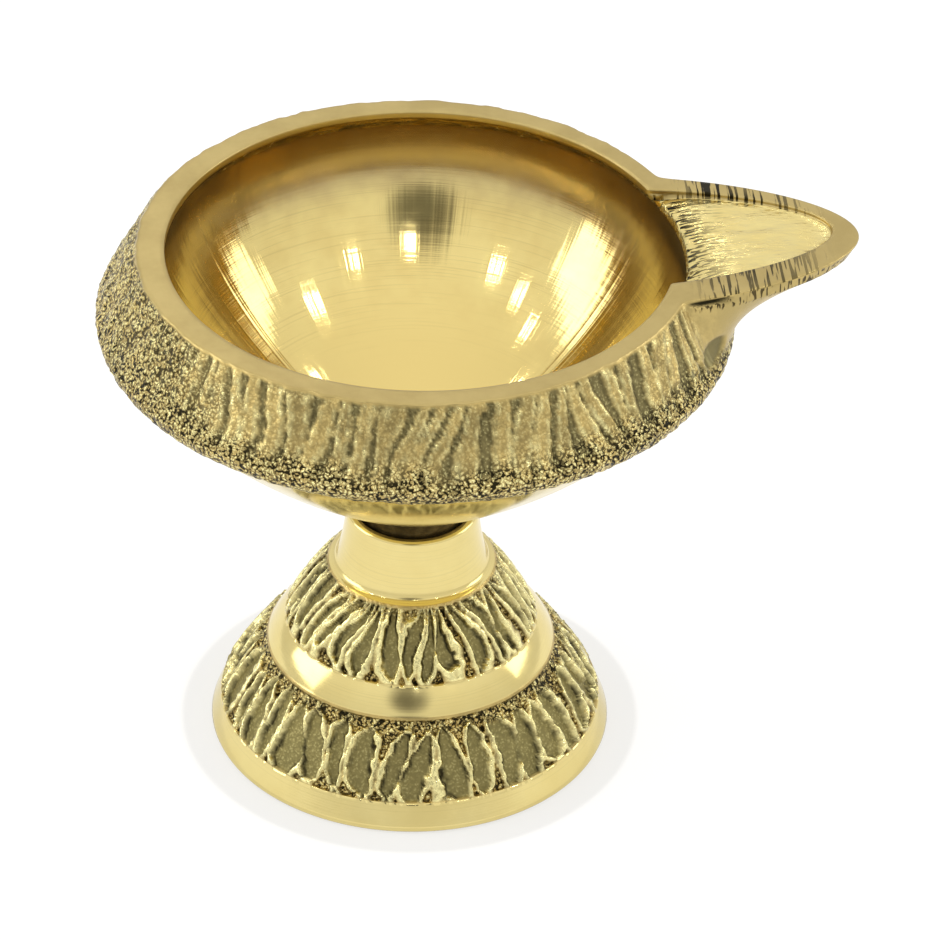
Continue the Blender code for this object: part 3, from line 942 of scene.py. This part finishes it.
class Finish(Nodes):
    """A metal material, with its place measured from the lamp's axis."""

    def __init__(self, name, roughness):
        self.material = bpy.data.materials.new(name)
        self.material.use_nodes = True
        super().__init__(self.material.node_tree)
        self.shader = self.tree.nodes["Principled BSDF"]
        self.shader.inputs["Metallic"].default_value = 1.0
        self.shader.inputs["Roughness"].default_value = roughness
        place = self.add("ShaderNodeTexCoord").outputs["Object"]
        self.place = self.vector("SUBTRACT", place, (AXIS_X, 0.0, 0.0))

    def scaled(self, vector, factors):
        return self.vector("MULTIPLY", vector, factors)

    def mark(self, name):
        return self.add("ShaderNodeAttribute", {"attribute_name": name}).outputs["Fac"]

    def noise(self, vector, size, detail=2.0, roughness=0.5):
        """Noise from 0 to 1 with lumps about size metres across."""
        node = self.add("ShaderNodeTexNoise", Vector=vector, Scale=1.0 / size, Detail=detail)
        self.feed(node.inputs["Roughness"], roughness)
        return node.outputs["Fac"]

    def mottled(self, size, detail, roughness, a, b, low=0.3, high=0.7):
        """Two colours mixed in patches about size metres across."""
        return self.mix(self.span(self.noise(self.place, size, detail, roughness), low, high), a, b)

    def mix(self, share, a, b):
        node = self.add("ShaderNodeMix", {"data_type": "RGBA"}, Factor=share)
        self.feed(node.inputs[6], a)
        self.feed(node.inputs[7], b)
        return node.outputs[2]

    def flat(self):
        """The level part of the place, which points away from the lamp's axis."""
        return self.scaled(self.place, (1.0, 1.0, 0.0))

    def rings(self):
        """Coordinates that change across turned grooves and hardly along them."""
        flat = self.flat()
        around = self.vector("NORMALIZE", flat)
        height = self.height_of(self.place)
        joined = self.add("ShaderNodeCombineXYZ", X=self.vector("LENGTH", flat), Y=height)
        return self.vector("ADD", joined.outputs[0], self.scaled(around, (0.0, 0.0, 0.0008)))

    def bump(self, height, distance):
        """A bump on top of those already there."""
        node = self.add("ShaderNodeBump", Strength=1.0, Distance=distance, Height=height)
        previous = self.shader.inputs["Normal"].links
        if previous:
            self.feed(node.inputs["Normal"], previous[0].from_socket)
        self.feed(self.shader.inputs["Normal"], node.outputs["Normal"])

    def chatter(self, distance):
        """Shallow waves left round the axis by the lathe, which draw out streaks of light."""
        flat = self.flat()
        waves = self.noise(self.vector("NORMALIZE", flat), 0.07, 3.0, 0.6)
        away = self.span(self.vector("LENGTH", flat), 0.006, 0.020)
        self.bump(self.times(waves, away), distance)

    def turned_along(self, amount):
        """Gloss that spreads across the lathe's grooves, which run round the axis."""
        around = self.vector("CROSS_PRODUCT", (0.0, 0.0, 1.0), self.flat())
        settings = {"vector_type": "VECTOR", "convert_from": "OBJECT", "convert_to": "WORLD"}
        turned = self.add("ShaderNodeVectorTransform", settings)
        self.feed(turned.inputs[0], self.vector("NORMALIZE", around))
        self.feed(self.shader.inputs["Tangent"], turned.outputs[0])
        self.shader.inputs["Anisotropic"].default_value = amount
        self.shader.inputs["Anisotropic Rotation"].default_value = 0.25

    def colour(self, value):
        self.feed(self.shader.inputs["Base Color"], value)

    def roughness(self, value):
        self.feed(self.shader.inputs["Roughness"], value)


PALE_BRASS = (0.80, 0.67, 0.29, 1.0)
WARM_BRASS = (0.76, 0.62, 0.25, 1.0)
TURNED_LIGHT = (0.80, 0.65, 0.26, 1.0)
TURNED_DARK = (0.72, 0.56, 0.21, 1.0)
# painted shade: the brown of the band on the bowl's inside wall under the rim
RIM_SHADE_BROWN = (0.46, 0.36, 0.19, 1.0)
SATIN_LIGHT = (0.53, 0.41, 0.165, 1.0)
SATIN_DARK = (0.46, 0.35, 0.135, 1.0)
CAST_LIGHT = (0.60, 0.45, 0.165, 1.0)
CAST_DARK = (0.36, 0.275, 0.105, 1.0)
OLIVE = (0.20, 0.172, 0.075, 1.0)
PALE_OLIVE = (0.245, 0.212, 0.083, 1.0)
# dark of casting grit and file strokes, and painted shade where the shade mark lies
SOOT_AND_SHADE = (0.024, 0.020, 0.009, 1.0)
BRIGHT = (0.99, 0.90, 0.43, 1.0)
# grime together with painted shade: the dark brown of the boss in its narrow gap and of the
# pedestal's recess; also the ink of file strokes on cast brass
GRIME_AND_SHADE = (0.10, 0.075, 0.032, 1.0)
ZINC = (0.72, 0.72, 0.70, 1.0)
SPRING_STEEL = (0.42, 0.41, 0.40, 1.0)


def dimmed(colour, factor):
    """A colour made darker, or lighter by a factor over 1."""
    return tuple(factor * part for part in colour[:3]) + (1.0,)


def turned_finish(name, roughness, groove, pale=PALE_BRASS, warm=WARM_BRASS, inside_of_bowl=False):
    """Polished brass with lathe lines and slow drifts of tone; the flag is for the bowl's inside,
    which also gets painted brown shade under the rim.
    """
    look = Finish(name, roughness)
    rings = look.rings()
    fine = look.noise(rings, 0.00016, 1.0)
    coarse = look.noise(rings, 0.0011)
    patch = look.noise(look.place, 0.006, 3.0, 0.6)
    tone = look.mix(look.span(patch, 0.3, 0.75), pale, warm)
    line = look.span(fine, 0.56, 0.70, 0.0, 0.17 if inside_of_bowl else 0.10)
    tone = look.mix(line, tone, dimmed(warm, 0.5))
    worn = look.noise(look.place, 0.0035, 4.0, 0.65)
    gloss = look.span(worn, 0.3, 0.75, roughness * 0.8, roughness * 1.35)
    if inside_of_bowl:
        tone, gloss = warm_floor_and_rim_shade(look, tone, gloss, patch, warm)
        look.chatter(0.00005)
    look.colour(tone)
    look.roughness(gloss)
    look.bump(look.plus(fine, look.times(coarse, 3.0)), groove)
    look.turned_along(0.5)
    return look


def warm_floor_and_rim_shade(look, tone, gloss, patch, warm):
    """Tone and gloss for the bowl's inside: darker and warmer towards the bottom, and painted
    shade, brown, in a band under the rim.
    """
    drift = look.times(look.math("SUBTRACT", patch, 0.5), 0.004)
    level = look.plus(look.height_of(look.place), drift)
    sunk = look.span(level, CAVITY_Z + 0.003, CAVITY_Z + 0.011, 1.0, 0.0)
    # painted shade: a brown band on the inside wall under the rim, rougher there too
    shade = look.span(level, RIM_Z - 0.0112, RIM_Z - 0.0052)
    tone = look.mix(shade, look.mix(sunk, tone, warm), RIM_SHADE_BROWN)
    return tone, look.plus(gloss, look.times(shade, 0.14))


def filed(look, base, squash, size, edges, depth, ink=SOOT_AND_SHADE):
    """Dark file strokes over a colour where the strokes mark says so; squash draws them out."""
    drawn = look.scaled(look.place, squash)
    stroke = look.noise(drawn, size, 1.0)
    patchy = look.noise(look.place, 0.0016)
    height = look.plus(stroke, look.times(patchy, 0.15))
    mark = look.times(look.mark("strokes"), 1.3)
    dark = look.times(look.span(height, *edges), mark)
    look.bump(look.times(dark, -1.0), depth)
    return look.mix(dark, base, ink)


def satin_finish():
    look = Finish("satin_brass", 0.36)
    rings = look.rings()
    fine = look.noise(rings, 0.00013, 1.0)
    specks = look.noise(look.place, 0.0005, 4.0, 0.7)
    base = look.mottled(0.005, 3.0, 0.6, SATIN_LIGHT, SATIN_DARK)
    base = look.mix(look.span(fine, 0.58, 0.75, 0.0, 0.3), base, SATIN_DARK)
    look.roughness(look.span(specks, 0.2, 0.8, 0.28, 0.42))
    look.bump(fine, 0.000006)
    look.bump(specks, 0.00001)
    look.colour(filed(look, base, (1.0, 0.05, 0.05), 0.00030, (0.60, 0.65), 0.00014))
    return look


def groove_finish():
    """The groove's floor: filed lengthwise, roughest where it opens into the bowl."""
    look = Finish("groove_brass", 0.2)
    along = look.scaled(look.place, (0.08, 1.0, 1.0))
    hair = look.noise(along, 0.00022, 2.0, 0.6)
    wave = look.noise(look.scaled(look.place, (0.5, 1.0, 1.0)), 0.0016, 3.0, 0.6)
    base = look.mottled(0.004, 3.0, 0.6, PALE_BRASS, TURNED_LIGHT)
    look.roughness(look.span(wave, 0.3, 0.7, 0.14, 0.30))
    look.bump(wave, 0.00025)
    look.bump(hair, 0.00002)
    look.colour(filed(look, base, (0.10, 1.0, 0.6), 0.00028, (0.585, 0.655), 0.00020))
    return look


def cast_finish(name, hollow_colour):
    """Sand-cast brass: olive in its hollows, rubbed bright on its ridges, gritty where grain is."""
    look = Finish(name, 0.4)
    hollow = look.mark("hollow")
    grain = look.mark("grain")
    ridge = look.mark("ridge")
    rubbed = look.mark("filed")
    stir = look.add("ShaderNodeTexNoise", Vector=look.place, Scale=1 / 0.0006).outputs["Color"]
    warp = look.scaled(look.vector("SUBTRACT", stir, (0.5, 0.5, 0.5)), (0.0007, 0.0007, 0.0007))
    warped = look.vector("ADD", look.place, warp)
    cells = look.add("ShaderNodeTexVoronoi", Vector=warped, Scale=1 / 0.00033)
    grit = look.noise(look.place, 0.00022, 2.0, 0.7)
    patch = look.noise(look.place, 0.0022, 4.0, 0.65)
    crumb = look.plus(cells.outputs["Distance"], look.times(grit, 0.5))
    tone = look.plus(patch, look.times(look.mark("tone"), 0.22))
    base = look.mix(look.span(tone, 0.40, 0.82), CAST_LIGHT, CAST_DARK)
    base = look.mix(look.times(rubbed, 0.6), base, SATIN_LIGHT)
    base = look.mix(look.times(hollow, 0.92), base, hollow_colour)
    base = look.mix(look.times(ridge, 0.95), base, BRIGHT)
    dark = look.times(look.span(crumb, 0.79, 0.88), grain)
    light = look.times(look.span(crumb, 0.60, 0.50), grain)
    base = look.mix(light, base, BRIGHT)
    base = look.mix(dark, base, SOOT_AND_SHADE)
    # painted shade: dark lines down the gaps between petals, along the petals' outlines and in the
    # pit
    base = look.mix(look.mark("shade"), base, SOOT_AND_SHADE)
    look.roughness(look.span(look.math("SUBTRACT", hollow, ridge), -1.0, 1.0, 0.20, 0.52))
    height = look.times(crumb, look.span(grain, 0.0, 1.0, 0.06, 1.0))
    look.bump(look.times(height, -1.0), 0.00024)
    look.bump(grit, 0.00003)
    look.colour(filed(look, base, (1.0, 1.0, 0.15), 0.00030, (0.61, 0.70), 0.00010, GRIME_AND_SHADE))
    return look


def grime_and_shade_finish():
    """Unpolished brass, browned where no cloth reaches, and darkened as painted shade on the boss
    in its narrow gap and in the pedestal's recess and hollow.
    """
    look = Finish("grime_and_shade_brass", 0.5)
    specks = look.noise(look.place, 0.0003, 3.0, 0.7)
    look.colour(look.mottled(0.0014, 4.0, 0.65, GRIME_AND_SHADE, dimmed(GRIME_AND_SHADE, 2.2), 0.35))
    look.roughness(look.span(specks, 0.3, 0.7, 0.42, 0.62))
    look.bump(specks, 0.00004)
    return look


def steel_finish(name, colour, roughness):
    look = Finish(name, roughness)
    patch = look.noise(look.place, 0.0015, 4.0, 0.6)
    look.colour(look.mottled(0.0015, 4.0, 0.6, colour, dimmed(colour, 0.75)))
    look.roughness(look.span(patch, 0.3, 0.7, roughness * 0.8, roughness * 1.3))
    look.bump(look.noise(look.place, 0.0003), 0.00001)
    return look


# ---- stage, light and camera

CAMERA_AZIMUTH = math.radians(-5.5)
CAMERA_ELEVATION = math.radians(34.95)
CAMERA_DISTANCE = 0.6051
CAMERA_ROLL = math.radians(1.23)
CAMERA_LENS = 231.74
CAMERA_TARGET = Vector((AXIS_X + 0.00566, -0.00055, 0.03036))

# The light tent: its brightness low down and overhead, and in the opening round the camera
TENT_WHITE = (1.0, 0.99, 0.97, 1.0)
TENT_LOW = 0.80
TENT_TOP = 1.14
OPENING_EDGE = math.radians(18)
OPENING_CORE = math.radians(3)
OPENING_SHARE = 0.20

# The lights, all one distance from a point inside the bowl
LIT_POINT = Vector((AXIS_X, 0.0, 0.04))
LIGHT_DISTANCE = 0.9
SPOT_AZIMUTHS = (110, 71, 37, 2, -53, -74, -93, -123)

FLOOR_HALF_SIDE = 3.0
FLOOR_DROP = 0.00005  # under the foot, so the two faces never lie in one plane


def direction(azimuth, elevation):
    """Unit vector towards an azimuth (0 in front, 90 at the right) and elevation, in radians."""
    flat = math.cos(elevation)
    return Vector((math.sin(azimuth) * flat, -math.cos(azimuth) * flat, math.sin(elevation)))


def make_camera():
    data = bpy.data.cameras.new("camera")
    data.lens = CAMERA_LENS
    data.sensor_width = 36.0
    data.clip_start = 0.01
    data.clip_end = 10.0
    camera = put("camera", data)
    back = direction(CAMERA_AZIMUTH, CAMERA_ELEVATION)
    facing = (-back).to_track_quat("-Z", "Y").to_matrix().to_4x4()
    place = Matrix.Translation(CAMERA_TARGET + back * CAMERA_DISTANCE)
    camera.matrix_world = place @ facing @ Matrix.Rotation(CAMERA_ROLL, 4, "Z")
    bpy.context.scene.camera = camera


def make_floor():
    mesh = bpy.data.meshes.new("floor")
    side = FLOOR_HALF_SIDE
    corners = ((-side, -side), (side, -side), (side, side), (-side, side))
    mesh.from_pydata([(*corner, -FLOOR_DROP) for corner in corners], [], [(0, 1, 2, 3)])
    floor = put("floor", mesh)
    paper = Finish("floor_paper", 0.9)
    paper.shader.inputs["Metallic"].default_value = 0.0
    paper.shader.inputs["Specular IOR Level"].default_value = 0.0
    paper.shader.inputs["Base Color"].default_value = (0.3, 0.3, 0.3, 1.0)
    # a pale round patch of shade under the foot, in an evenly lit white sheet
    away = paper.vector("LENGTH", paper.place)
    lit = paper.span(away, 1.13 * FOOT_RADIUS, 1.17 * FOOT_RADIUS, 0.62, 0.75)
    paper.shader.inputs["Emission Color"].default_value = (1.0, 1.0, 1.0, 1.0)
    paper.feed(paper.shader.inputs["Emission Strength"], lit)
    mesh.materials.append(paper.material)


def make_world():
    """A white light tent: bright overhead, dimmer low down and dark round the camera's opening."""
    world = bpy.data.worlds.new("light_tent")
    world.use_nodes = True
    nodes = Nodes(world.node_tree)
    background = nodes.tree.nodes["Background"]
    place = nodes.add("ShaderNodeTexCoord").outputs["Generated"]
    tent = nodes.span(nodes.height_of(place), 0.0, 1.0, TENT_LOW, TENT_TOP, curve="LINEAR")
    towards = nodes.vector("DOT_PRODUCT", place, direction(CAMERA_AZIMUTH, CAMERA_ELEVATION))
    edges = (math.cos(OPENING_EDGE), math.cos(OPENING_CORE))
    opening = nodes.span(towards, *edges, 1.0, OPENING_SHARE)
    nodes.feed(background.inputs["Strength"], nodes.times(tent, opening))
    background.inputs["Color"].default_value = TENT_WHITE
    bpy.context.scene.world = world


def make_light(name, azimuth, elevation, size, radiance):
    """An area light of a given brightness, facing the lamp."""
    data = bpy.data.lights.new(name, "AREA")
    data.shape = "RECTANGLE"
    data.size, data.size_y = size
    data.energy = radiance * math.pi * size[0] * size[1]
    light = put(name, data)
    towards = direction(math.radians(azimuth), math.radians(elevation))
    light.location = LIT_POINT + towards * LIGHT_DISTANCE
    light.rotation_mode = "QUATERNION"
    light.rotation_quaternion = (-towards).to_track_quat("-Z", "Y")


def make_studio():
    make_world()
    make_floor()
    make_light("softbox_right", 98, 22, (0.42, 0.36), 1.8)
    make_light("softbox_left", -97, 22, (0.52, 0.44), 2.1)
    for number, azimuth in enumerate(SPOT_AZIMUTHS):
        make_light(f"spot_{number}", azimuth, 47, (0.022, 0.036), 50.0)
    make_light("spot_back", 184, 40, (0.05, 0.05), 12.0)
    make_camera()
    bpy.context.scene.view_settings.view_transform = "Standard"


# ---- the lamp


turned_inside = turned_finish("turned_brass", 0.10, 0.0000055, TURNED_LIGHT, TURNED_DARK, inside_of_bowl=True)
polished = turned_finish("polished_brass_skin", 0.13, 0.000002)
satin = satin_finish()
cast = cast_finish("cast_brass_skin", OLIVE)
petalled = cast_finish("petalled_brass_skin", PALE_OLIVE)
groove_floor = groove_finish()
grime_shade = grime_and_shade_finish()
zinc = steel_finish("zinc_plate", ZINC, 0.28)
spring = steel_finish("spring_steel_skin", SPRING_STEEL, 0.34)

make_bowl((turned_inside, groove_floor, satin, cast, polished, grime_shade))
make_pedestal((polished, petalled, grime_shade))
make_screw(zinc)
make_plain_washer(zinc)
make_split_washer(spring)
make_studio()
